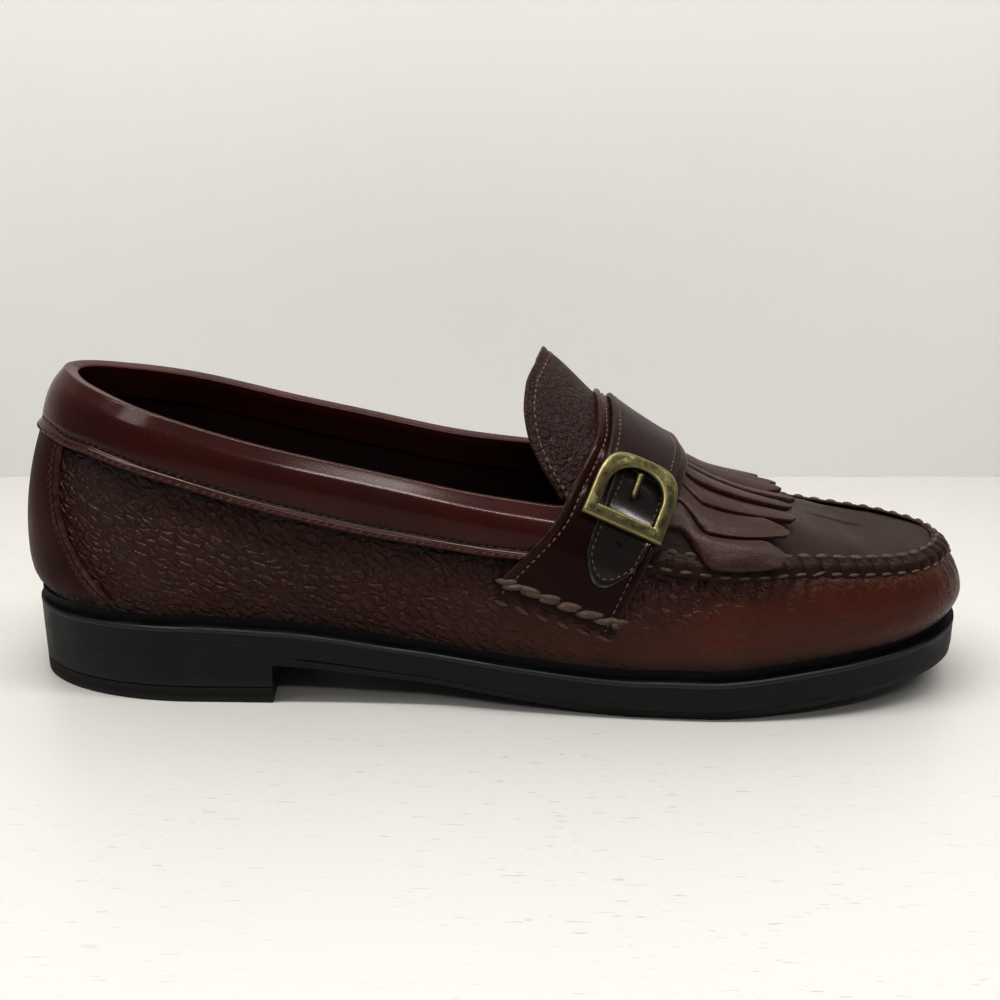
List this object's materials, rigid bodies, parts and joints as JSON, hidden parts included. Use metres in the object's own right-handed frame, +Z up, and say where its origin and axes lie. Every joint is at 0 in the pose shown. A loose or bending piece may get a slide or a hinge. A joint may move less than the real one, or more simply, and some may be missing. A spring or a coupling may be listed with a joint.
{
  "type": "buckle loafer",
  "caption": "Slip-on loafer for a right foot, with a moccasin toe seam, a fringed flap, a buckled strap over the instep and a low heel.",
  "frame": {"origin": "on the floor, under the middle of the shoe's bounding box", "axes": "+X from heel to toe, +Y to the medial side, +Z up"},
  "size_m": [0.3032, 0.1006, 0.1025],
  "materials": {
    "sole_rubber": "satin moulded rubber with a fine ridge round its top",
    "lift_rubber": "matt worn rubber",
    "midsole_rubber": "matt black",
    "sock": "smooth dark green sock lining",
    "upper_leather": "reddish-brown leather, pebbled at the quarter and smooth at the toe",
    "collar_leather": "smooth burgundy leather, polished, padded",
    "stay_leather": "smooth burgundy leather, folded and stitched edge",
    "tongue_leather": "pebbled taupe leather with a bound edge",
    "kiltie_leather": "pebbled taupe leather with notched tips",
    "saddle_leather": "smooth burgundy leather, hand stitched at its foot",
    "strap_leather": "smooth dark brown leather with stitched edges",
    "billet_leather": "glossy near-black leather with a pale stitch row",
    "buckle_brass": "antique brass, rubbed on its edges",
    "prong_brass": "antique brass"
  },
  "bodies": {
    "root": {"outsole": "sole_rubber", "heel_lift": "lift_rubber", "midsole": "midsole_rubber", "insole": "sock", "upper": "upper_leather", "collar_band": "collar_leather", "back_stay": "stay_leather", "tongue": "tongue_leather", "kiltie": "kiltie_leather", "saddle": "saddle_leather", "cross_strap": "strap_leather", "billet": "billet_leather", "buckle_frame": "buckle_brass", "buckle_prong": "prong_brass"}
  },
  "joints": []
}
